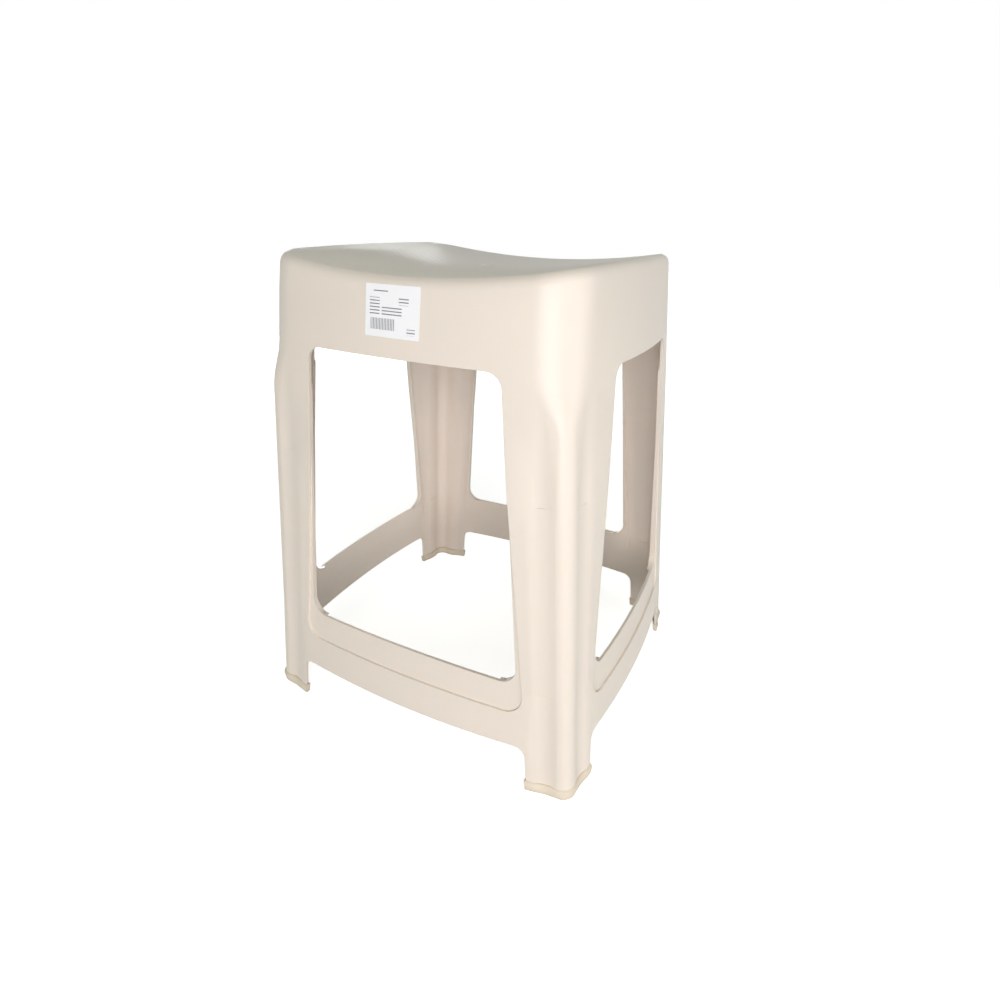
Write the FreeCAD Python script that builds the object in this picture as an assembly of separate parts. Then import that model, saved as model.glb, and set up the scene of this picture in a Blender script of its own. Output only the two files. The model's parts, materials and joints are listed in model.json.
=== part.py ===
import FreeCAD, Part
import math
import os

# Stacking stool in millimetres. Z points up, the floor is z = 0 and the origin is the
# middle of the footprint. X runs along the long faces, and the label is on the -Y face.
# One moulded shell makes the seat, the skirt, the four legs and the four stretchers.

Vec = FreeCAD.Vector

# Heights above the floor
SEAT_HEIGHT = 465.0
APRON_BOTTOM = 389.4
STRETCHER_TOP = 111.9
STRETCHER_BOTTOM = 48.0
LEDGE_HEIGHT = 83.0

# Half-widths of the shell at its corners: along X, then along Y
FLOOR_HALF_X = 180.0
APRON_HALF_X = 145.8
SEAT_HALF_X = 143.3
FLOOR_HALF_Y = 166.6
APRON_HALF_Y = 143.1
SEAT_HALF_Y = 134.9

# How far the middle of a side stands out past its corners: faces across X, then across Y
FLOOR_BOW_X = 15.5
STRETCHER_BOW_X = 12.2
APRON_BOW_X = 17.8
SEAT_BOW_X = 8.0
FLOOR_BOW_Y = 15.6
STRETCHER_BOW_Y = 8.9
APRON_BOW_Y = 9.4
SEAT_BOW_Y = 5.2

# Corners of the shell: round on the skirt, tight on the legs, with a shoulder between
SKIRT_CORNER = 40.0
LEG_CORNER = 13.0
SHOULDER_HEIGHT = 42.0
SHOULDER_STEPS = 4
LEG_STEPS = 3
SKIRT_STEPS = 2

# Shallow flute on each side of a leg's corner, full deep up to one height and gone by another
FLUTE_DEPTH = 2.0
FLUTE_RADIUS = 28.0
FLUTE_FROM_CORNER = 22.0
FLUTE_FULL = 290.0
FLUTE_TOP = 368.0

# Walls and seat
WALL = 2.8
SEAT_THICKNESS = 3.2
SEAT_DIP = 14.4
SEAT_EDGE_ROUND = 9.0
SEAT_ROUND_STEPS = 4
CORE_ROUND_STEPS = 2
SEAT_ROOF_INSET = 50.0
HOLE_RADIUS = 6.5

# Ribs and boss under the seat
RIB_THICKNESS = 2.2
RIB_DEPTH = 9.0
BOSS_WALL = 3.0
RIB_COUNT = 8

# Windows between the legs: half-widths at their top and bottom edges
WINDOW_TOP_HALF_X = 93.5
WINDOW_BOTTOM_HALF_X = 120.0
WINDOW_TOP_HALF_Y = 74.9
WINDOW_BOTTOM_HALF_Y = 107.5
WINDOW_TOP_ROUND = 14.0
WINDOW_BOTTOM_ROUND = 16.0

# Gaps below the stretchers: half-widths at their top edge and how they widen downwards
GAP_HALF_X = 133.9
GAP_HALF_Y = 122.6
GAP_FLARE = 0.10
GAP_ROUND = 12.0

# Sunk panel round each window, and the lip along the legs' window edges
PANEL_DEPTH = 2.0
PANEL_RIM = 5.6
PANEL_TOP_OVERLAP = 3.0
PANEL_ROUND = 17.0
LIP_THICKNESS = 2.6
LIP_DEPTH_TOP = 2.9
LIP_DEPTH_BOTTOM = 7.8

# Anti-slip pads on the leg ends
PAD_SOLE = 3.0
PAD_HEIGHT = 17.0
PAD_WALL = 1.8
PAD_BEAD = 4.6
PAD_BEAD_HEIGHT = 8.5
PAD_TOE = 1.6
PAD_CLEARANCE = 0.15

# Paper label on the front of the skirt
LABEL_LEFT = -29.2
LABEL_RIGHT = 22.4
LABEL_BOTTOM = 405.2
LABEL_TOP = 444.2
LABEL_CLEARANCE = 0.05
LABEL_THICKNESS = 0.2
LABEL_CORNER = 1.0

# How far cutting shapes run past what they cut, and what counts as touching
OVERRUN = 12.0
TOUCH = 0.001


def between(height, table):
    """Value at a height on straight lines through (height, value) pairs."""
    below = table[0]
    for above in table[1:]:
        if height <= above[0] or above is table[-1]:
            share = (height - below[0]) / (above[0] - below[0])
            return below[1] + share * (above[1] - below[1])
        below = above


def eased(height, low, high):
    """Smooth rise from 0 at the low height to 1 at the high one."""
    share = min(1.0, max(0.0, (height - low) / (high - low)))
    return share * share * (3.0 - 2.0 * share)


def half_x(height):
    return between(height, [(0.0, FLOOR_HALF_X), (APRON_BOTTOM, APRON_HALF_X), (SEAT_HEIGHT, SEAT_HALF_X)])


def half_y(height):
    return between(height, [(0.0, FLOOR_HALF_Y), (APRON_BOTTOM, APRON_HALF_Y), (SEAT_HEIGHT, SEAT_HALF_Y)])


def bow_x(height):
    return between(height, [(0.0, FLOOR_BOW_X), (STRETCHER_BOTTOM, FLOOR_BOW_X),
                            (STRETCHER_TOP, STRETCHER_BOW_X), (APRON_BOTTOM, APRON_BOW_X),
                            (SEAT_HEIGHT, SEAT_BOW_X)])


def bow_y(height):
    return between(height, [(0.0, FLOOR_BOW_Y), (STRETCHER_BOTTOM, FLOOR_BOW_Y),
                            (STRETCHER_TOP, STRETCHER_BOW_Y), (APRON_BOTTOM, APRON_BOW_Y),
                            (SEAT_HEIGHT, SEAT_BOW_Y)])


def corner_radius(height):
    rise = eased(height, APRON_BOTTOM - SHOULDER_HEIGHT, APRON_BOTTOM)
    return LEG_CORNER + rise * (SKIRT_CORNER - LEG_CORNER)


def side_arcs(height):
    """Centre and radius of the arc of the +X side, then of the +Y side."""
    wide, deep = half_x(height), half_y(height)
    round_x = (deep ** 2 + bow_x(height) ** 2) / (2.0 * bow_x(height))
    round_y = (wide ** 2 + bow_y(height) ** 2) / (2.0 * bow_y(height))
    centre_x = Vec(wide + bow_x(height) - round_x, 0, height)
    centre_y = Vec(0, deep + bow_y(height) - round_y, height)
    return centre_x, round_x, centre_y, round_y


def corner(height, inset):
    """Start, middle and end of the +X +Y corner's arc, which is tangent to both sides."""
    centre_x, round_x, centre_y, round_y = side_arcs(height)
    radius = corner_radius(height)
    link = centre_y - centre_x
    along = ((round_x - radius) ** 2 - (round_y - radius) ** 2 + link.Length ** 2) / (2.0 * link.Length)
    aside = math.sqrt((round_x - radius) ** 2 - along ** 2)
    unit = link / link.Length
    centre = centre_x + unit * along + Vec(-unit.y, unit.x, 0) * aside
    start = (centre - centre_y).normalize()
    end = (centre - centre_x).normalize()
    middle = (start + end).normalize()
    return [centre + out * (radius - inset) for out in (start, middle, end)]


def closed(quarter, crown_x, crown_y):
    """Closed outline from the +X +Y corner's three points and the middles of two sides."""
    edges = []
    for flip_x, flip_y in ((1, 1), (1, -1), (-1, -1), (-1, 1)):
        start, middle, end = [Vec(flip_x * p.x, flip_y * p.y, p.z) for p in quarter]
        beside = Vec(flip_x * crown_x.x, 0, crown_x.z)
        facing = Vec(0, flip_y * crown_y.y, crown_y.z)
        turns = [Part.Arc(start, middle, end).toShape()]
        if flip_x == flip_y:
            turns.append(Part.Arc(end, beside, Vec(end.x, -end.y, end.z)).toShape())
        else:
            turns.append(Part.Arc(start, facing, Vec(-start.x, start.y, start.z)).toShape())
        edges += turns
    return Part.Wire(Part.__sortEdges__(edges))


def ring(height, inset):
    """Closed outline of the shell at one height, pushed in by inset."""
    crown_x = Vec(half_x(height) + bow_x(height) - inset, 0, height)
    crown_y = Vec(0, half_y(height) + bow_y(height) - inset, height)
    return closed(corner(height, inset), crown_x, crown_y)


def saddle_radius():
    reach = SEAT_HALF_X + SEAT_BOW_X
    return (reach ** 2 + SEAT_DIP ** 2) / (2.0 * SEAT_DIP)


def seat_level(x):
    """Height of the saddle at a distance along X."""
    return SEAT_HEIGHT - SEAT_DIP + saddle_radius() - math.sqrt(saddle_radius() ** 2 - x ** 2)


def rim(inset, drop):
    """Closed outline that follows the saddle, lowered by drop and pushed in by inset."""
    low = seat_level(0.0) - drop
    high = seat_level(SEAT_HALF_X + SEAT_BOW_X - inset) - drop
    quarter = [Vec(p.x, p.y, seat_level(p.x) - drop) for p in corner(high, inset)]
    crown_x = Vec(half_x(high) + bow_x(high) - inset, 0, high)
    crown_y = Vec(0, half_y(low) + bow_y(low) - inset, low)
    return closed(quarter, crown_x, crown_y)


def skin(inset, heights):
    """Solid inside the shell's outline pushed in by inset, a number or a rule of height.

    It runs straight from each height to the next.
    """
    rule = inset if callable(inset) else lambda height: inset
    return Part.makeLoft([ring(height, rule(height)) for height in heights], True, True)


def stepped(low, high, count):
    """Evenly spaced heights from low up to, but not at, high."""
    return [low + (high - low) * step / count for step in range(count)]


def skirt_heights():
    """Heights where the skirt bends, up to where the rounding of the seat's edge is near."""
    top = SEAT_HEIGHT - SEAT_DIP - 2.0 * SEAT_EDGE_ROUND
    return stepped(APRON_BOTTOM, top, SKIRT_STEPS) + [top]


def shell_heights():
    """Heights where the shell's sides bend, with small steps up the shoulder."""
    shoulder = APRON_BOTTOM - SHOULDER_HEIGHT
    return ([-OVERRUN, STRETCHER_BOTTOM] + stepped(STRETCHER_TOP, shoulder, LEG_STEPS)
            + stepped(shoulder, APRON_BOTTOM, SHOULDER_STEPS) + skirt_heights())


def flute_depth(height):
    """Full up to FLUTE_FULL, nothing at FLUTE_TOP, and clear of the leg above it."""
    return FLUTE_DEPTH * min(1.0, (FLUTE_TOP - height) / (FLUTE_TOP - FLUTE_FULL))


def flute_axes(height):
    """Points on the axes of the bars that hollow the flutes of the +X +Y leg."""
    centre_x, round_x, centre_y, round_y = side_arcs(height)
    clear = FLUTE_RADIUS - flute_depth(height)
    aside_x = half_y(height) - FLUTE_FROM_CORNER
    aside_y = half_x(height) - FLUTE_FROM_CORNER
    out_x = Vec(math.sqrt(round_x ** 2 - aside_x ** 2), aside_x, 0).normalize()
    out_y = Vec(aside_y, math.sqrt(round_y ** 2 - aside_y ** 2), 0).normalize()
    return centre_x + out_x * (round_x + clear), centre_y + out_y * (round_y + clear)


def flute_bars(inset, heights):
    """Round bars, one after another up both sides, for a skin that is pushed in by inset."""
    bars = []
    for low, high in zip(heights, heights[1:]):
        for foot, head in zip(flute_axes(low), flute_axes(high)):
            bars.append(Part.makeCylinder(FLUTE_RADIUS + inset, foot.distanceToPoint(head), foot, head - foot))
    return bars


def flute_heights():
    """Heights where the legs' flutes bend."""
    return [-OVERRUN, STRETCHER_TOP, FLUTE_FULL, FLUTE_TOP + OVERRUN]


def saddle(drop):
    """Round bar that hollows the seat along X; what it holds lies above the seat."""
    length = 2.0 * (SEAT_HALF_Y + SEAT_BOW_Y + OVERRUN)
    axis_height = SEAT_HEIGHT - SEAT_DIP + saddle_radius() - drop
    return Part.makeCylinder(saddle_radius(), length, Vec(0, -0.5 * length, axis_height), Vec(0, 1, 0))


def seated(inset, drop, edge_round, steps):
    """Skin up to the saddle, lowered by drop, with its top edge rounded in steps."""
    rings = [ring(height, inset) for height in shell_heights()]
    for step in range(steps):
        angle = 0.5 * math.pi * step / steps
        rings.append(rim(inset + edge_round * (1.0 - math.cos(angle)),
                         drop + edge_round * (1.0 - math.sin(angle))))
    rings.append(ring(SEAT_HEIGHT + OVERRUN, inset + SEAT_ROOF_INSET))
    return Part.makeLoft(rings, True, True).cut(saddle(drop))


def quartered(solid):
    """The +X +Y quarter of a solid."""
    reach = FLOOR_HALF_X + FLOOR_BOW_X + OVERRUN
    return solid.common(Part.makeBox(reach, reach, SEAT_HEIGHT + 3.0 * OVERRUN, Vec(0, 0, -2.0 * OVERRUN)))


def rounded_outline(corners):
    """Closed wire in the XZ plane through (x, z, round) corners with rounded turns."""
    edges = []
    ends = []
    count = len(corners)
    for index, (x, z, turn) in enumerate(corners):
        here = Vec(x, 0, z)
        before = Vec(corners[index - 1][0], 0, corners[index - 1][1]) - here
        after = Vec(corners[(index + 1) % count][0], 0, corners[(index + 1) % count][1]) - here
        before.normalize()
        after.normalize()
        half_angle = 0.5 * before.getAngle(after)
        middle = before + after
        middle.normalize()
        pull = turn / math.tan(half_angle)
        deep = turn / math.sin(half_angle) - turn
        ends.append((here + before * pull, here + middle * deep, here + after * pull))
    for index, (first, mid, last) in enumerate(ends):
        if first.distanceToPoint(last) > 1e-6:
            edges.append(Part.Arc(first, mid, last).toShape())
        edges.append(Part.LineSegment(last, ends[(index + 1) % count][0]).toShape())
    return Part.Wire(edges)


def prism(corners, across_x):
    """Bar of the outline that runs through both opposite sides, along Y or along X."""
    reach = FLOOR_HALF_X + FLOOR_BOW_X + OVERRUN
    bar = Part.Face(rounded_outline(corners)).extrude(Vec(0, 2.0 * reach, 0))
    bar.translate(Vec(0, -reach, 0))
    if across_x:
        bar.rotate(Vec(0, 0, 0), Vec(0, 0, 1), 90)
    return bar


def window(top_half, bottom_half, across_x, grow=0.0):
    """Opening between two legs, wider by grow on its two leg sides."""
    return prism([(-top_half - grow, APRON_BOTTOM, WINDOW_TOP_ROUND),
                  (top_half + grow, APRON_BOTTOM, WINDOW_TOP_ROUND),
                  (bottom_half + grow, STRETCHER_TOP, WINDOW_BOTTOM_ROUND),
                  (-bottom_half - grow, STRETCHER_TOP, WINDOW_BOTTOM_ROUND)], across_x)


def panel(top_half, bottom_half, across_x, grow):
    """Sunk field round a window: it ends on the ledge and runs out up the legs."""
    rise = APRON_BOTTOM - STRETCHER_TOP
    high = top_half - PANEL_TOP_OVERLAP + grow
    low = bottom_half + PANEL_RIM + grow
    below = low + (low - high) * (STRETCHER_TOP - LEDGE_HEIGHT) / rise
    foot = LEDGE_HEIGHT - grow
    top = APRON_BOTTOM - WINDOW_TOP_ROUND
    inner = high + (low - high) * WINDOW_TOP_ROUND / rise
    return prism([(-inner, top, 0.0), (inner, top, 0.0),
                  (below, foot, PANEL_ROUND), (-below, foot, PANEL_ROUND)], across_x)


def gap(half, across_x, narrow=0.0):
    """Opening below a stretcher, narrower by narrow on its two leg sides."""
    spread = GAP_FLARE * (STRETCHER_BOTTOM + OVERRUN)
    return prism([(-half + narrow, STRETCHER_BOTTOM, GAP_ROUND),
                  (half - narrow, STRETCHER_BOTTOM, GAP_ROUND),
                  (half + spread - narrow, -OVERRUN, 0.0),
                  (-half - spread + narrow, -OVERRUN, 0.0)], across_x)


def slab(low, high):
    """Wide block between two heights."""
    reach = FLOOR_HALF_X + FLOOR_BOW_X + OVERRUN
    return Part.makeBox(2.0 * reach, 2.0 * reach, high - low, Vec(-reach, -reach, low))


def sunk(solid, deeper, grow):
    """Push the sunk panels of both pairs of sides into a skin."""
    front = panel(WINDOW_TOP_HALF_X, WINDOW_BOTTOM_HALF_X, False, grow)
    side = panel(WINDOW_TOP_HALF_Y, WINDOW_BOTTOM_HALF_Y, True, grow)
    return solid.cut([front.cut(deeper), side.cut(deeper)])


def lip_depth(height):
    return between(height, [(STRETCHER_TOP, LIP_DEPTH_BOTTOM), (APRON_BOTTOM, LIP_DEPTH_TOP)])


def inner_core(heights):
    """Space inside the shell, with its panels and the lips along the window edges."""
    core = quartered(seated(WALL, SEAT_THICKNESS, SEAT_EDGE_ROUND - WALL, CORE_ROUND_STEPS))
    core = core.cut(flute_bars(WALL, flute_heights()))
    core = sunk(core, skin(WALL + PANEL_DEPTH, heights), PANEL_DEPTH)
    behind_lip = skin(lambda height: max(lip_depth(height), WALL), heights)
    front = window(WINDOW_TOP_HALF_X, WINDOW_BOTTOM_HALF_X, False, LIP_THICKNESS)
    side = window(WINDOW_TOP_HALF_Y, WINDOW_BOTTOM_HALF_Y, True, LIP_THICKNESS)
    return core.cut([front.cut(behind_lip), side.cut(behind_lip)])


def seat_ribs(core):
    """Boss round the hole and ribs that run from it to the skirt, under the seat."""
    reach = SEAT_HALF_X + SEAT_BOW_X
    height = SEAT_HEIGHT - APRON_BOTTOM
    bars = [Part.makeCylinder(HOLE_RADIUS + BOSS_WALL, height, Vec(0, 0, APRON_BOTTOM))]
    for index in range(RIB_COUNT // 2):
        bar = Part.makeBox(2.0 * reach, RIB_THICKNESS, height, Vec(-reach, -0.5 * RIB_THICKNESS, APRON_BOTTOM))
        bar.rotate(Vec(0, 0, 0), Vec(0, 0, 1), index * 360.0 / RIB_COUNT)
        bars.append(bar)
    return bars[0].fuse(bars[1:]).common(core).common(saddle(SEAT_THICKNESS + RIB_DEPTH))


def whole(quarter):
    """The +X +Y quarter joined with its mirror images, face to face in the planes of symmetry."""
    open_faces = [face for face in quarter.Faces if min(face.BoundBox.XMax, face.BoundBox.YMax) > TOUCH]
    right = Part.makeCompound(open_faces)
    half = Part.makeCompound([right, right.mirror(Vec(0, 0, 0), Vec(0, 1, 0))])
    skin_all = Part.makeCompound([half, half.mirror(Vec(0, 0, 0), Vec(1, 0, 0))])
    skin_all.sewShape()
    solid = Part.makeSolid(skin_all.Shells[0])
    return solid.removeSplitter()


def body():
    """The moulded shell."""
    heights = shell_heights()
    outer = quartered(seated(0.0, 0.0, SEAT_EDGE_ROUND, SEAT_ROUND_STEPS))
    outer = outer.cut(flute_bars(0.0, flute_heights()))
    outer = sunk(outer, skin(PANEL_DEPTH, heights), 0.0)
    core = inner_core(heights)
    shell = outer.cut(core).fuse(seat_ribs(core))
    cutters = [window(WINDOW_TOP_HALF_X, WINDOW_BOTTOM_HALF_X, False),
               window(WINDOW_TOP_HALF_Y, WINDOW_BOTTOM_HALF_Y, True),
               gap(GAP_HALF_X, False), gap(GAP_HALF_Y, True),
               slab(-2.0 * OVERRUN, PAD_SOLE),
               Part.makeCylinder(HOLE_RADIUS, SEAT_HEIGHT, Vec(0, 0, APRON_BOTTOM))]
    return whole(shell.cut(cutters))


def bead(height):
    """How far a pad stands out from the leg at a height."""
    return between(height, [(0.0, PAD_TOE), (PAD_BEAD_HEIGHT, PAD_BEAD), (PAD_HEIGHT, PAD_WALL)])


def leg_end(inset, heights, flute_inset):
    """Solid inside the end of the +X +Y leg, pushed in by inset."""
    return quartered(skin(inset, heights)).cut(flute_bars(flute_inset, [-OVERRUN, STRETCHER_TOP]))


def foot_pad():
    """Soft pad round the end of the +X +Y leg."""
    through = [-OVERRUN, STRETCHER_BOTTOM]
    levels = stepped(0.0, PAD_BEAD_HEIGHT, 2) + stepped(PAD_BEAD_HEIGHT, PAD_HEIGHT, 2) + [PAD_HEIGHT]
    outside = leg_end(lambda height: -bead(height), levels, -PAD_BEAD)
    band = outside.cut(leg_end(WALL + PAD_WALL, through, WALL + PAD_WALL))
    band = band.cut([gap(GAP_HALF_X, False, PAD_WALL), gap(GAP_HALF_Y, True, PAD_WALL)])
    leg = leg_end(-PAD_CLEARANCE, through, -PAD_CLEARANCE)
    leg = leg.cut(leg_end(WALL + PAD_CLEARANCE, through, WALL + PAD_CLEARANCE))
    leg = leg.cut([gap(GAP_HALF_X, False, PAD_CLEARANCE), gap(GAP_HALF_Y, True, PAD_CLEARANCE),
                   slab(-2.0 * OVERRUN, PAD_SOLE)])
    return band.cut(leg)


def label_strip(height):
    """Outline of a strip of label right across the front at one height."""
    crown = half_y(height) + bow_y(height)
    radius = side_arcs(height)[3]
    near, far = crown + LABEL_CLEARANCE, crown + LABEL_CLEARANCE + LABEL_THICKNESS
    points = []
    for front in (near, far):
        size = front - crown + radius
        drop = size - math.sqrt(size ** 2 - SEAT_HALF_Y ** 2)
        points.append([Vec(-SEAT_HALF_Y, drop - front, height), Vec(0, -front, height),
                       Vec(SEAT_HALF_Y, drop - front, height)])
    inner, outer = points
    return Part.Wire([Part.Arc(*inner).toShape(), Part.makeLine(inner[-1], outer[-1]),
                      Part.Arc(*reversed(outer)).toShape(), Part.makeLine(outer[0], inner[0])])


def label():
    """Thin label that follows the bowed front of the skirt."""
    heights = skirt_heights() + [SEAT_HEIGHT]
    strip = Part.makeLoft([label_strip(height) for height in heights], True, True)
    outline = rounded_outline([(LABEL_LEFT, LABEL_TOP, LABEL_CORNER), (LABEL_RIGHT, LABEL_TOP, LABEL_CORNER),
                               (LABEL_RIGHT, LABEL_BOTTOM, LABEL_CORNER), (LABEL_LEFT, LABEL_BOTTOM, LABEL_CORNER)])
    reach = FLOOR_HALF_X + FLOOR_BOW_X + OVERRUN
    return strip.common(Part.Face(outline).extrude(Vec(0, -reach, 0)))


def save(node, shape):
    """Write one node as a single solid."""
    solid = shape.Solids[0]
    print(node, len(shape.Solids), round(solid.Volume), solid.isValid())
    solid.exportStep(os.path.join("parts", node + ".step"))


def build():
    os.makedirs("parts", exist_ok=True)
    save("stool_body", body())
    pad = foot_pad()
    flip_x = pad.mirror(Vec(0, 0, 0), Vec(1, 0, 0))
    save("foot_pad_rear_right", pad)
    save("foot_pad_rear_left", flip_x)
    save("foot_pad_front_right", pad.mirror(Vec(0, 0, 0), Vec(0, 1, 0)))
    save("foot_pad_front_left", flip_x.mirror(Vec(0, 0, 0), Vec(0, 1, 0)))
    save("label", label())


build()
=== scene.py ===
import json
import math

import bmesh
import bpy
from mathutils import Matrix, Vector
from mathutils.bvhtree import BVHTree

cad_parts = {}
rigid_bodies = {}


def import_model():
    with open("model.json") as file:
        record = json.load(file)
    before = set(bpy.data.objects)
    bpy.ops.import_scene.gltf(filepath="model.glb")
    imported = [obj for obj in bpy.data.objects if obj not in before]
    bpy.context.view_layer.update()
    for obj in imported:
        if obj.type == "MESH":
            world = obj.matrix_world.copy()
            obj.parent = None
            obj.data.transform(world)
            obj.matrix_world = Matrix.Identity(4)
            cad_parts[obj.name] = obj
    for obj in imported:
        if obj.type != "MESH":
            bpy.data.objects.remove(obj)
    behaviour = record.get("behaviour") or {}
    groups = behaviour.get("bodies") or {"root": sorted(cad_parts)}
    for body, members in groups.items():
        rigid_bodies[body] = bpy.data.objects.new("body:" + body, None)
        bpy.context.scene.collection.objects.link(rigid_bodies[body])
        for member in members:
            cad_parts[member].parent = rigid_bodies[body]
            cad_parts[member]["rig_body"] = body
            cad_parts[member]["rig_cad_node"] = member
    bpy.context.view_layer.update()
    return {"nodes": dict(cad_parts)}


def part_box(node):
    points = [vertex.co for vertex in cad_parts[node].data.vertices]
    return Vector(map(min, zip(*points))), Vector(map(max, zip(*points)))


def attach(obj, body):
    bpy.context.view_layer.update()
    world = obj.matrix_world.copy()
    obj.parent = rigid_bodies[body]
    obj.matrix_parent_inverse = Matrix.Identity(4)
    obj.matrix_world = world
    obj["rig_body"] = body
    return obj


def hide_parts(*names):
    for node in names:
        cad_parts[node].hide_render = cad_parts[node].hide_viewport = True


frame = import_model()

bl_info = {
    "name": "Stacking Stool",
    "version": (1, 0, 0),
    "blender": (4, 5, 0),
    "location": "3D View > Sidebar > Stool",
    "description": "Finishes a moulded stacking stool, its foot pads and its label on a pale stage",
    "category": "Object",
}

BODY = "root"
SHELL_NODE = "stool_body"
LABEL_NODE = "label"
PAD_NODES = sorted(name for name in frame["nodes"] if name.startswith("foot_pad_"))
SHELL_LOW, SHELL_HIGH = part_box(SHELL_NODE)
LABEL_LOW, LABEL_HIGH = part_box(LABEL_NODE)
MM = 0.001

# Shading of the copied pieces: loose triangles join closer than this, and sharper turns stay edges
JOINED = 0.002 * MM
SHELL_ANGLE = 32
PAD_ANGLE = 40
LABEL_ANGLE = 30

# Where the legs' flutes bend, in height, and the part of the plan where the legs stand
FLUTE_BENDS = (110.0 * MM, 288.0 * MM)
BEND_BAND = 3.0 * MM
LEG_FROM_X, LEG_FROM_Y = 108.0 * MM, 98.0 * MM
LEVEL = 0.7

# A pad's inner face lies closer to the shell than this, and stays there
PAD_FIT = 0.3 * MM

# The seat's grip lies within this depth of the top, where the surface turns from steep to level
GRIP_BELOW_TOP = 20 * MM
GRIP_STARTS, GRIP_FULL = 0.93, 0.98

# Print on the label, as shares of its width from the left and of its height from the top
BAR_FIELD = (0.10, 0.56, 0.64, 0.86)
RULE_FIELDS = ((0.08, 0.27, 0.25, 0.61), (0.31, 0.68, 0.41, 0.61), (0.62, 0.80, 0.23, 0.37),
               (0.15, 0.42, 0.09, 0.17), (0.78, 0.93, 0.80, 0.92))
BAR_INK, RULE_INK = 0.5, 0.35

# Lamps: place and width. All face the middle of the stool
LAMP_AIM = (0.0, 0.0, 0.24)
KEY_PLACE, KEY_WIDTH = (0.75, -1.5, 0.6), 1.1
FILL_PLACE, FILL_WIDTH = (2.0, -0.3, 0.6), 1.2
BACK_PLACE, BACK_WIDTH = (-1.5, 1.6, 0.36), 0.7

# The photograph's camera, in metres, degrees and pixels, fitted to the stool's edges
CAMERA_PLACE = (0.29702, -0.53581, 0.49517)
CAMERA_TURN, CAMERA_TILT, CAMERA_ROLL = 25.86, 26.03, 1.48
FOCAL_PIXELS = 597.5
CENTRE_X, CENTRE_Y = 516.8, 505.7
NEAREST_SEEN = 0.02

PHOTO_SIZE = 1000.0
SENSOR_WIDTH = 36.0


def linear(hex_colour):
    """Linear RGBA of an sRGB colour written as RRGGBB."""
    parts = [int(hex_colour[i:i + 2], 16) / 255.0 for i in (0, 2, 4)]
    return [p / 12.92 if p <= 0.04045 else ((p + 0.055) / 1.055) ** 2.4 for p in parts] + [1.0]


def colour(name, description, hex_colour):
    """A colour property that a user picks in the panel."""
    return bpy.props.FloatVectorProperty(name=name, description=description, subtype="COLOR",
                                         size=4, min=0.0, max=1.0, default=linear(hex_colour))


def length(name, description, metres):
    """A length property in metres."""
    return bpy.props.FloatProperty(name=name, description=description, unit="LENGTH",
                                   subtype="DISTANCE", default=metres, min=0.0, precision=5)


def factor(name, description, value, highest=1.0):
    """A plain share or strength."""
    return bpy.props.FloatProperty(name=name, description=description, subtype="FACTOR",
                                   default=value, min=0.0, max=highest)


class StoolShellSettings(bpy.types.PropertyGroup):
    tint: colour("Plastic", "Colour of the moulded polypropylene", "EDE0D6")
    roughness: factor("Roughness", "How matt the satin mould finish is", 0.42)
    mottle: factor("Mottle", "How far the colour wanders across the moulding", 0.03)
    mottle_size: length("Mottle size", "Width of the soft flow marks in the plastic", 90 * MM)
    spark: length("Spark texture", "Grain of the spark-eroded mould face", 0.9 * MM)
    spark_depth: length("Spark depth", "Height of that grain", 0.03 * MM)
    grip_pitch: length("Grip pitch", "Spacing of the anti-slip waves on the seat", 5.0 * MM)
    grip_depth: length("Grip depth", "Height of the anti-slip waves on the seat", 0.12 * MM)
    edge: length("Edge", "Rounding of the moulding's sharp edges", 0.7 * MM)


class StoolPadSettings(bpy.types.PropertyGroup):
    tint: colour("Rubber", "Colour of the soft foot pads", "E7D8C6")
    roughness: factor("Roughness", "How matt the pads are", 0.6)
    grain: length("Grain", "Size of the fine speckle of the moulded rubber", 0.8 * MM)
    # Within this height of the floor the pads are made darker, down to 0.86 of their colour at the bottom
    bottom_darkening_height: length("Scuff height", "How far up the pads floor darkening reaches", 4 * MM)
    edge: length("Edge", "Rounding of the pads' edges", 1.0 * MM)
    height: length("Height", "How far up the leg a pad's rim reaches", 10.5 * MM)
    bead_share: factor("Bead", "How much of the moulded bead is left by the leg's pull on it", 0.5)


class StoolLabelSettings(bpy.types.PropertyGroup):
    paper: colour("Paper", "Colour of the label stock", "FDFAFF")
    ink: colour("Ink", "Colour of the plain printed rules and bars", "83838B")
    roughness: factor("Roughness", "How matt the label is", 0.5)
    bar_pitch: length("Bar pitch", "Spacing of the plain even bars", 1.5 * MM)
    rule_pitch: length("Rule pitch", "Spacing of the plain ruled lines", 2.4 * MM)


class StoolStageSettings(bpy.types.PropertyGroup):
    floor: colour("Floor", "Colour of the floor", "CFCFCF")
    floor_size: length("Floor size", "Width of the square floor", 12.0)
    floor_white: factor("Floor white", "How white the floor is before light falls on it", 0.78)
    shadow_reach: length("Shadow reach", "How far from the stool the floor shows its shadow", 0.45)
    key_power: bpy.props.FloatProperty(name="Key lamp", description="Power of the large front lamp",
                                       unit="POWER", default=20.5, min=0.0)
    fill_power: bpy.props.FloatProperty(name="Fill lamp", description="Power of the lamp on the right",
                                        unit="POWER", default=10.0, min=0.0)
    back_power: bpy.props.FloatProperty(name="Back lamp", description="Power of the low lamp behind",
                                        unit="POWER", default=27.0, min=0.0)
    sky: factor("Sky at eye level", "Strength of the light from all round, at the horizon", 0.36)
    sky_top: factor("Sky overhead", "Strength of the light from straight above", 0.10)
    sky_tint: colour("Sky tint", "Colour of the light from all round", "FFFFFF")
    top_tint: colour("Overhead tint", "Colour of the light from above", "CBF5BA")


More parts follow.
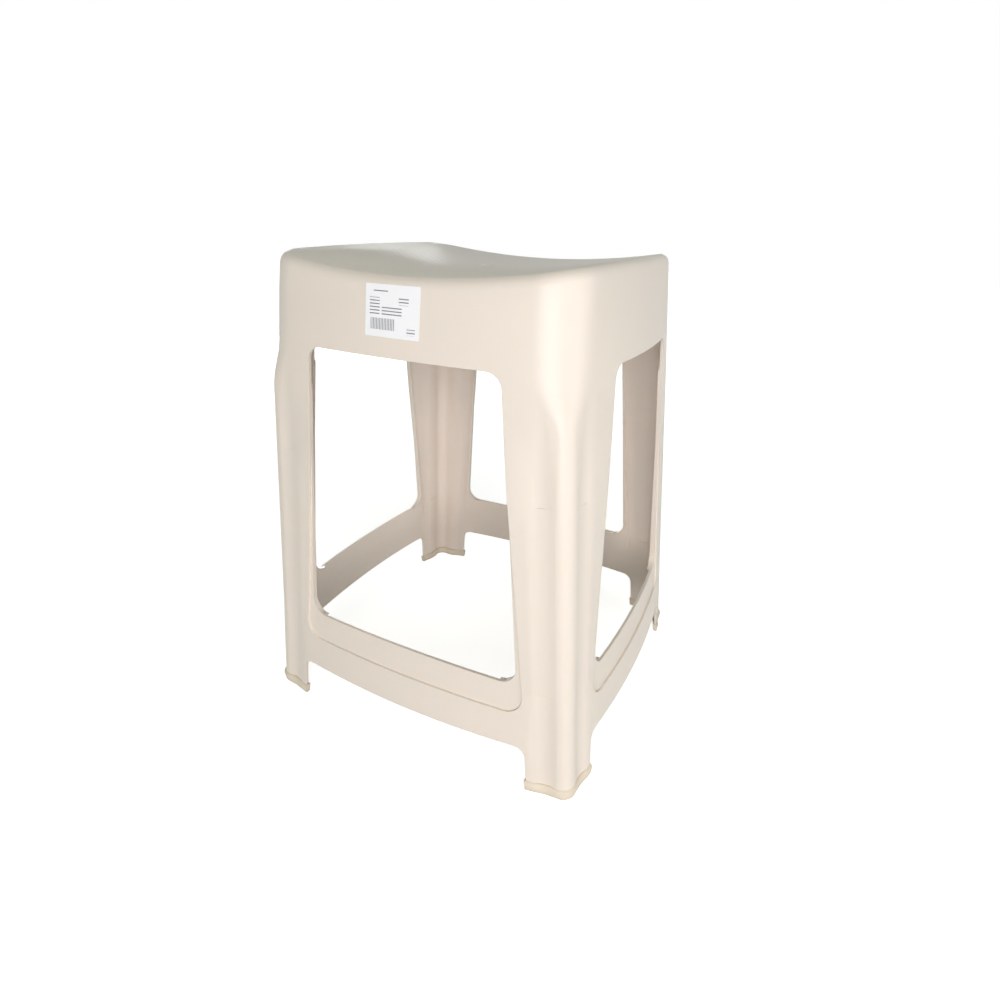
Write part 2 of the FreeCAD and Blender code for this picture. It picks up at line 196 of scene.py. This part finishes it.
def make_node(tree, kind, links=None, **settings):
    """Add a node: settings are attributes or input values, links feed its inputs."""
    node = tree.nodes.new(kind)
    for key, value in settings.items():
        if hasattr(node, key):
            setattr(node, key, value)
        else:
            node.inputs[key.replace("_", " ")].default_value = value
    for key, source in (links or {}).items():
        tree.links.new(source, node.inputs[key])
    return node


def fresh_material(name):
    """An empty node material with its output node."""
    material = bpy.data.materials.new(name)
    material.use_nodes = True
    material.node_tree.nodes.clear()
    output = material.node_tree.nodes.new("ShaderNodeOutputMaterial")
    return material, material.node_tree, output


def moulded_polypropylene(settings):
    """Polypropylene injection moulded against a spark-eroded steel face.

    It gives a warm satin skin with faint flow mottle, a very fine grain, and on the seat
    low waves that keep a sitter from sliding. The real grain is about a third as wide, and
    is drawn coarser here so that it shows.
    """
    material, tree, output = fresh_material("moulded_polypropylene")
    place = make_node(tree, "ShaderNodeTexCoord").outputs["Object"]
    flow = make_node(tree, "ShaderNodeTexNoise", {"Vector": place},
                     Scale=1.0 / settings.mottle_size, Detail=2.0, Roughness=0.5)
    wander = make_node(tree, "ShaderNodeMapRange", {"Value": flow.outputs["Fac"]})
    wander.inputs["To Min"].default_value = 1.0 - settings.mottle
    wander.inputs["To Max"].default_value = 1.0 + 0.5 * settings.mottle
    tint = make_node(tree, "ShaderNodeVectorMath", operation="SCALE")
    tint.inputs[0].default_value = settings.tint[:3]
    tree.links.new(wander.outputs["Result"], tint.inputs["Scale"])
    rounded = make_node(tree, "ShaderNodeBevel", samples=6, Radius=settings.edge)
    spark = make_node(tree, "ShaderNodeTexNoise", {"Vector": place},
                      Scale=1.0 / settings.spark, Detail=3.0, Roughness=0.6)
    grain = make_node(tree, "ShaderNodeBump",
                      {"Height": spark.outputs["Fac"], "Normal": rounded.outputs["Normal"]},
                      Strength=0.5, Distance=settings.spark_depth)
    grip = grip_waves(tree, place, settings)
    raised = make_node(tree, "ShaderNodeBump", {"Height": grip, "Normal": grain.outputs["Normal"]},
                       Strength=0.6, Distance=settings.grip_depth)
    skin = make_node(tree, "ShaderNodeBsdfPrincipled",
                     {"Base Color": tint.outputs["Vector"], "Normal": raised.outputs["Normal"]},
                     Roughness=settings.roughness, IOR=1.49)
    skin.inputs["Subsurface Weight"].default_value = 0.15
    skin.inputs["Subsurface Radius"].default_value = (1.0, 0.8, 0.6)
    skin.inputs["Subsurface Scale"].default_value = 2.0 * MM
    tree.links.new(skin.outputs["BSDF"], output.inputs["Surface"])
    return material


def grip_waves(tree, place, settings):
    """Height of the low diagonal waves, only where the surface faces up, on the seat."""
    waves = make_node(tree, "ShaderNodeTexWave", {"Vector": place}, wave_type="BANDS",
                      bands_direction="DIAGONAL", wave_profile="SIN",
                      Scale=0.314 / settings.grip_pitch, Distortion=2.5, Detail=1.0)
    waves.inputs["Detail Scale"].default_value = 1.5
    facing = make_node(tree, "ShaderNodeNewGeometry")
    upward = make_node(tree, "ShaderNodeSeparateXYZ", {"Vector": facing.outputs["Normal"]})
    level = make_node(tree, "ShaderNodeMapRange", {"Value": upward.outputs["Z"]})
    level.inputs["From Min"].default_value = GRIP_STARTS
    level.inputs["From Max"].default_value = GRIP_FULL
    high = make_node(tree, "ShaderNodeSeparateXYZ", {"Vector": place})
    seat = make_node(tree, "ShaderNodeMath", {0: high.outputs["Z"]}, operation="GREATER_THAN")
    seat.inputs[1].default_value = SHELL_HIGH.z - GRIP_BELOW_TOP
    mask = make_node(tree, "ShaderNodeMath", {0: level.outputs["Result"], 1: seat.outputs["Value"]},
                     operation="MULTIPLY")
    height = make_node(tree, "ShaderNodeMath", {0: waves.outputs["Fac"], 1: mask.outputs["Value"]},
                       operation="MULTIPLY")
    return height.outputs["Value"]


def soft_rubber(settings):
    """Thermoplastic rubber moulded in a blasted die.

    It gives a matt skin a little greener than the shell, with speckle, and darker towards the bottom.
    """
    material, tree, output = fresh_material("soft_thermoplastic_rubber")
    place = make_node(tree, "ShaderNodeTexCoord").outputs["Object"]
    height = make_node(tree, "ShaderNodeSeparateXYZ", {"Vector": place})
    # The pad colour is darker towards the bottom: 0.86 of the tint at the floor, rising to full at this
    # height
    bottom_darkening = make_node(tree, "ShaderNodeMapRange", {"Value": height.outputs["Z"]})
    bottom_darkening.inputs["From Min"].default_value = 0.0
    bottom_darkening.inputs["From Max"].default_value = settings.bottom_darkening_height
    bottom_darkening.inputs["To Min"].default_value = 0.86
    bottom_darkening.inputs["To Max"].default_value = 1.0
    tint = make_node(tree, "ShaderNodeVectorMath", operation="SCALE")
    tint.inputs[0].default_value = settings.tint[:3]
    tree.links.new(bottom_darkening.outputs["Result"], tint.inputs["Scale"])
    speckle = make_node(tree, "ShaderNodeTexNoise", {"Vector": place},
                        Scale=1.0 / settings.grain, Detail=2.0)
    rounded = make_node(tree, "ShaderNodeBevel", samples=6, Radius=settings.edge)
    bump = make_node(tree, "ShaderNodeBump",
                     {"Height": speckle.outputs["Fac"], "Normal": rounded.outputs["Normal"]},
                     Strength=0.4, Distance=0.05 * MM)
    skin = make_node(tree, "ShaderNodeBsdfPrincipled",
                     {"Base Color": tint.outputs["Vector"], "Normal": bump.outputs["Normal"]},
                     Roughness=settings.roughness, IOR=1.5)
    tree.links.new(skin.outputs["BSDF"], output.inputs["Surface"])
    return material


def box_mask(tree, x, z, left, right, low, high):
    """1 inside a rectangle of the label, 0 outside. Sides are in metres."""
    sides = []
    for source, limit, operation in ((x, left, "GREATER_THAN"), (x, right, "LESS_THAN"),
                                     (z, low, "GREATER_THAN"), (z, high, "LESS_THAN")):
        side = make_node(tree, "ShaderNodeMath", {0: source}, operation=operation)
        side.inputs[1].default_value = limit
        sides.append(side.outputs["Value"])
    inside = sides[0]
    for side in sides[1:]:
        inside = make_node(tree, "ShaderNodeMath", {0: inside, 1: side},
                           operation="MULTIPLY").outputs["Value"]
    return inside


def stripes(tree, along, pitch, ink_share):
    """1 on even stripes of the given pitch, 0 between them."""
    cycle = make_node(tree, "ShaderNodeMath", {0: along}, operation="PINGPONG")
    cycle.inputs[1].default_value = 0.5 * pitch
    mark = make_node(tree, "ShaderNodeMath", {0: cycle.outputs["Value"]}, operation="LESS_THAN")
    mark.inputs[1].default_value = 0.5 * pitch * ink_share
    return mark.outputs["Value"]


def printed_label(settings):
    """Coated self-adhesive paper, printed with plain even rules and bars that say nothing."""
    material, tree, output = fresh_material("coated_label_paper")
    place = make_node(tree, "ShaderNodeTexCoord").outputs["Object"]
    axes = make_node(tree, "ShaderNodeSeparateXYZ", {"Vector": place})
    x, z = axes.outputs["X"], axes.outputs["Z"]
    left, top = LABEL_LOW.x, LABEL_HIGH.z
    width, height = LABEL_HIGH.x - LABEL_LOW.x, LABEL_HIGH.z - LABEL_LOW.z
    bars = stripes(tree, x, settings.bar_pitch, BAR_INK)
    rules = stripes(tree, z, settings.rule_pitch, RULE_INK)
    fields = [(bars, BAR_FIELD)] + [(rules, field) for field in RULE_FIELDS]
    ink = None
    for pattern, (start, end, above, below) in fields:
        mask = box_mask(tree, x, z, left + start * width, left + end * width,
                        top - below * height, top - above * height)
        mark = make_node(tree, "ShaderNodeMath", {0: pattern, 1: mask}, operation="MULTIPLY")
        ink = mark.outputs["Value"] if ink is None else make_node(
            tree, "ShaderNodeMath", {0: ink, 1: mark.outputs["Value"]}, operation="MAXIMUM").outputs["Value"]
    mix = make_node(tree, "ShaderNodeMix", {"Factor": ink}, data_type="RGBA")
    mix.inputs["A"].default_value = settings.paper
    mix.inputs["B"].default_value = settings.ink
    fibre = make_node(tree, "ShaderNodeTexNoise", {"Vector": place}, Scale=1.0 / (0.5 * MM), Detail=2.0)
    bump = make_node(tree, "ShaderNodeBump", {"Height": fibre.outputs["Fac"]},
                     Strength=0.2, Distance=0.02 * MM)
    skin = make_node(tree, "ShaderNodeBsdfPrincipled",
                     {"Base Color": mix.outputs["Result"], "Normal": bump.outputs["Normal"]},
                     Roughness=settings.roughness, IOR=1.5)
    tree.links.new(skin.outputs["BSDF"], output.inputs["Surface"])
    return material


def background_rays(tree):
    """1 for rays that the camera, a gloss or a clear piece sends out, 0 for light on the stool."""
    path = make_node(tree, "ShaderNodeLightPath")
    seen = make_node(tree, "ShaderNodeMath",
                     {0: path.outputs["Is Camera Ray"], 1: path.outputs["Is Glossy Ray"]},
                     operation="MAXIMUM")
    seen = make_node(tree, "ShaderNodeMath",
                     {0: seen.outputs["Value"], 1: path.outputs["Is Transmission Ray"]},
                     operation="MAXIMUM")
    return seen.outputs["Value"]


def white_floor(settings):
    """Seamless studio paper: white to the camera, and it keeps the stool's shadow."""
    material, tree, output = fresh_material("studio_paper")
    paper = make_node(tree, "ShaderNodeBsdfDiffuse", Roughness=1.0)
    paper.inputs["Color"].default_value = settings.floor
    place = make_node(tree, "ShaderNodeTexCoord").outputs["Object"]
    away = make_node(tree, "ShaderNodeVectorMath", {0: place}, operation="LENGTH")
    white = make_node(tree, "ShaderNodeMapRange", {"Value": away.outputs["Value"]})
    white.inputs["From Min"].default_value = settings.shadow_reach
    white.inputs["From Max"].default_value = 3.0 * settings.shadow_reach
    white.inputs["To Min"].default_value = settings.floor_white
    share = make_node(tree, "ShaderNodeMath",
                      {0: background_rays(tree), 1: white.outputs["Result"]}, operation="MULTIPLY")
    glow = make_node(tree, "ShaderNodeEmission")
    tree.links.new(share.outputs["Value"], glow.inputs["Strength"])
    both = make_node(tree, "ShaderNodeAddShader", {0: paper.outputs["BSDF"], 1: glow.outputs["Emission"]})
    tree.links.new(both.outputs["Shader"], output.inputs["Surface"])
    return material


def deselect():
    """Nothing selected, so that the next operator acts only on what it is given."""
    for item in bpy.context.view_layer.objects:
        item.select_set(False)


def skinned_copy(node_name, piece_name, material, angle):
    """A copy of a solid with its loose triangles joined and its curved faces shaded smooth."""
    deselect()
    source = frame["nodes"][node_name]
    piece = source.copy()
    piece.data = source.data.copy()
    piece.name = piece_name
    piece.data.name = piece_name
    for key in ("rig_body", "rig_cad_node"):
        if key in piece:
            del piece[key]
    piece.parent = None
    bpy.context.scene.collection.objects.link(piece)
    piece.select_set(True)
    bpy.context.view_layer.objects.active = piece
    bpy.ops.object.mode_set(mode="EDIT")
    bpy.ops.mesh.select_all(action="SELECT")
    bpy.ops.mesh.remove_doubles(threshold=JOINED)
    bpy.ops.object.mode_set(mode="OBJECT")
    bpy.ops.mesh.customdata_custom_splitnormals_clear()
    bpy.ops.object.shade_smooth_by_angle(angle=math.radians(angle))
    piece.data.materials.clear()
    piece.data.materials.append(material)
    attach(piece, BODY)
    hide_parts(node_name)
    return piece


def at_flute_bend(face):
    """Whether a face lies across a leg's flute, where two straight stretches of it meet."""
    centre = face.calc_center_median()
    on_leg = abs(centre.x) > LEG_FROM_X and abs(centre.y) > LEG_FROM_Y
    at_bend = any(abs(centre.z - bend) < BEND_BAND for bend in FLUTE_BENDS)
    return on_leg and at_bend and abs(face.normal.z) > LEVEL


def blend_flutes(shell):
    """Take out the hairline webs across the flutes and close each seam, so that they run on."""
    deselect()
    shell.select_set(True)
    bpy.context.view_layer.objects.active = shell
    bpy.ops.object.mode_set(mode="EDIT")
    bpy.ops.mesh.select_mode(type="FACE")
    bpy.ops.mesh.select_all(action="DESELECT")
    form = bmesh.from_edit_mesh(shell.data)
    web = {corner for face in form.faces if at_flute_bend(face) for corner in face.verts}
    for face in form.faces:
        face.select_set(all(corner in web for corner in face.verts))
    bmesh.update_edit_mesh(shell.data)
    bpy.ops.mesh.delete(type="FACE")
    bpy.ops.mesh.select_mode(type="EDGE")
    bpy.ops.mesh.select_non_manifold(extend=False)
    bpy.ops.mesh.fill_holes(sides=0)
    bpy.ops.mesh.select_all(action="SELECT")
    bpy.ops.mesh.quads_convert_to_tris()
    bpy.ops.object.mode_set(mode="OBJECT")


class STOOL_OT_shell(bpy.types.Operator):
    """Give the one-piece shell its moulded polypropylene skin"""
    bl_idname = "stool.shell"
    bl_label = "Moulded shell"

    def execute(self, context):
        material = moulded_polypropylene(context.scene.stool_shell)
        shell = skinned_copy(SHELL_NODE, "moulded_shell", material, SHELL_ANGLE)
        blend_flutes(shell)
        bpy.ops.object.shade_smooth_by_angle(angle=math.radians(SHELL_ANGLE))
        return {"FINISHED"}


def settle_pad(pad, shell_skin, settings):
    """Stretch a pad over its leg: the rim sinks, and the bead is drawn in against the shell."""
    rim = max(vertex.co.z for vertex in pad.data.vertices)
    middle = 0.5 * rim
    for vertex in pad.data.vertices:
        place = vertex.co.copy()
        touch, _, _, gap = shell_skin.find_nearest(place)
        drawn_in = (place - touch) * (1.0 - settings.bead_share) if gap > PAD_FIT else Vector()
        vertex.co.x -= drawn_in.x
        vertex.co.y -= drawn_in.y
        if place.z > middle:
            vertex.co.z = middle + (place.z - middle) * (settings.height - middle) / (rim - middle)


class STOOL_OT_pads(bpy.types.Operator):
    """Stretch the four soft rubber pads over the leg ends"""
    bl_idname = "stool.pads"
    bl_label = "Foot pads"

    def execute(self, context):
        settings = context.scene.stool_pads
        material = soft_rubber(settings)
        shell = frame["nodes"][SHELL_NODE].data
        shell_skin = BVHTree.FromPolygons([vertex.co for vertex in shell.vertices],
                                          [face.vertices for face in shell.polygons])
        for name in PAD_NODES:
            pad = skinned_copy(name, name.replace("foot_pad", "soft_pad"), material,
                               PAD_ANGLE)
            settle_pad(pad, shell_skin, settings)
        return {"FINISHED"}


class STOOL_OT_label(bpy.types.Operator):
    """Print the label on the front of the skirt"""
    bl_idname = "stool.label"
    bl_label = "Label"

    def execute(self, context):
        material = printed_label(context.scene.stool_label)
        skinned_copy(LABEL_NODE, "printed_label", material, LABEL_ANGLE)
        return {"FINISHED"}


def add_area(name, place, size, power):
    """A square soft lamp that faces the middle of the stool."""
    data = bpy.data.lights.new(name, "AREA")
    data.shape = "SQUARE"
    data.size = size
    data.energy = power
    lamp = bpy.data.objects.new(name, data)
    lamp.location = place
    lamp.rotation_euler = (Vector(LAMP_AIM) - Vector(place)).to_track_quat("-Z", "Y").to_euler()
    bpy.context.scene.collection.objects.link(lamp)


def add_camera():
    """The photograph's camera: place, turn, tilt and roll worked out from its edges."""
    turn, tilt, roll = (math.radians(angle) for angle in (CAMERA_TURN, CAMERA_TILT, CAMERA_ROLL))
    forward = Vector((-math.sin(turn) * math.cos(tilt), math.cos(turn) * math.cos(tilt), -math.sin(tilt)))
    level = Vector((math.cos(turn), math.sin(turn), 0.0))
    upright = level.cross(forward)
    right = math.cos(roll) * level + math.sin(roll) * upright
    up = -math.sin(roll) * level + math.cos(roll) * upright
    data = bpy.data.cameras.new("photo_camera")
    data.sensor_width = SENSOR_WIDTH
    data.lens = SENSOR_WIDTH * FOCAL_PIXELS / PHOTO_SIZE
    data.shift_x = (0.5 * PHOTO_SIZE - CENTRE_X) / PHOTO_SIZE
    data.shift_y = (CENTRE_Y - 0.5 * PHOTO_SIZE) / PHOTO_SIZE
    data.clip_start = NEAREST_SEEN
    camera = bpy.data.objects.new("photo_camera", data)
    turned = Matrix((right, up, -forward)).transposed().to_4x4()
    camera.matrix_world = Matrix.Translation(CAMERA_PLACE) @ turned
    bpy.context.scene.collection.objects.link(camera)
    bpy.context.scene.camera = camera


def even_sky(settings):
    """Soft light from all round, dimmer overhead; the camera sees white behind the floor."""
    world = bpy.data.worlds.new("soft_sky")
    world.use_nodes = True
    tree = world.node_tree
    tree.nodes.clear()
    direction = make_node(tree, "ShaderNodeTexCoord").outputs["Generated"]
    climb = make_node(tree, "ShaderNodeSeparateXYZ", {"Vector": direction})
    dimming = make_node(tree, "ShaderNodeMapRange", {"Value": climb.outputs["Z"]})
    dimming.inputs["To Min"].default_value = settings.sky
    dimming.inputs["To Max"].default_value = settings.sky_top
    tint = make_node(tree, "ShaderNodeMix", {"Factor": climb.outputs["Z"]}, data_type="RGBA")
    tint.inputs["A"].default_value = settings.sky_tint
    tint.inputs["B"].default_value = settings.top_tint
    light = make_node(tree, "ShaderNodeBackground",
                      {"Color": tint.outputs["Result"], "Strength": dimming.outputs["Result"]})
    white = make_node(tree, "ShaderNodeBackground", Strength=1.0)
    white.inputs["Color"].default_value = (1.0, 1.0, 1.0, 1.0)
    mix = make_node(tree, "ShaderNodeMixShader", {0: background_rays(tree), 1: light.outputs["Background"],
                                                 2: white.outputs["Background"]})
    output = make_node(tree, "ShaderNodeOutputWorld")
    tree.links.new(mix.outputs["Shader"], output.inputs["Surface"])
    bpy.context.scene.world = world


class STOOL_OT_stage(bpy.types.Operator):
    """Set the pale floor, the soft lamps, the sky and the photograph's camera"""
    bl_idname = "stool.stage"
    bl_label = "Stage"

    def execute(self, context):
        settings = context.scene.stool_stage
        deselect()
        bpy.ops.mesh.primitive_plane_add(size=settings.floor_size, location=(0.0, 0.0, 0.0))
        floor = context.object
        floor.name = "studio_floor"
        floor.data.materials.append(white_floor(settings))
        add_area("key_lamp", KEY_PLACE, KEY_WIDTH, settings.key_power)
        add_area("fill_lamp", FILL_PLACE, FILL_WIDTH, settings.fill_power)
        add_area("back_lamp", BACK_PLACE, BACK_WIDTH, settings.back_power)
        even_sky(settings)
        add_camera()
        context.scene.view_settings.view_transform = "Standard"
        return {"FINISHED"}


class STOOL_PT_panel(bpy.types.Panel):
    """The stool's steps and settings"""
    bl_idname = "STOOL_PT_panel"
    bl_label = "Stacking Stool"
    bl_space_type = "VIEW_3D"
    bl_region_type = "UI"
    bl_category = "Stool"

    def draw(self, context):
        for operator, settings in ((STOOL_OT_shell, "stool_shell"), (STOOL_OT_pads, "stool_pads"),
                                   (STOOL_OT_label, "stool_label"), (STOOL_OT_stage, "stool_stage")):
            column = self.layout.column()
            column.operator(operator.bl_idname)
            group = getattr(context.scene, settings)
            for name in group.bl_rna.properties.keys():
                if name not in ("rna_type", "name"):
                    column.prop(group, name)


CLASSES = (StoolShellSettings, StoolPadSettings, StoolLabelSettings, StoolStageSettings,
           STOOL_OT_shell, STOOL_OT_pads, STOOL_OT_label, STOOL_OT_stage, STOOL_PT_panel)
GROUPS = {"stool_shell": StoolShellSettings, "stool_pads": StoolPadSettings,
          "stool_label": StoolLabelSettings, "stool_stage": StoolStageSettings}


def register():
    for item in CLASSES:
        bpy.utils.register_class(item)
    for name, group in GROUPS.items():
        setattr(bpy.types.Scene, name, bpy.props.PointerProperty(type=group))


def unregister():
    for name in GROUPS:
        delattr(bpy.types.Scene, name)
    for item in reversed(CLASSES):
        bpy.utils.unregister_class(item)


def main():
    """Make the whole scene in order."""
    register()
    bpy.ops.stool.shell()
    bpy.ops.stool.pads()
    bpy.ops.stool.label()
    bpy.ops.stool.stage()


if __name__ == "__main__":
    main()
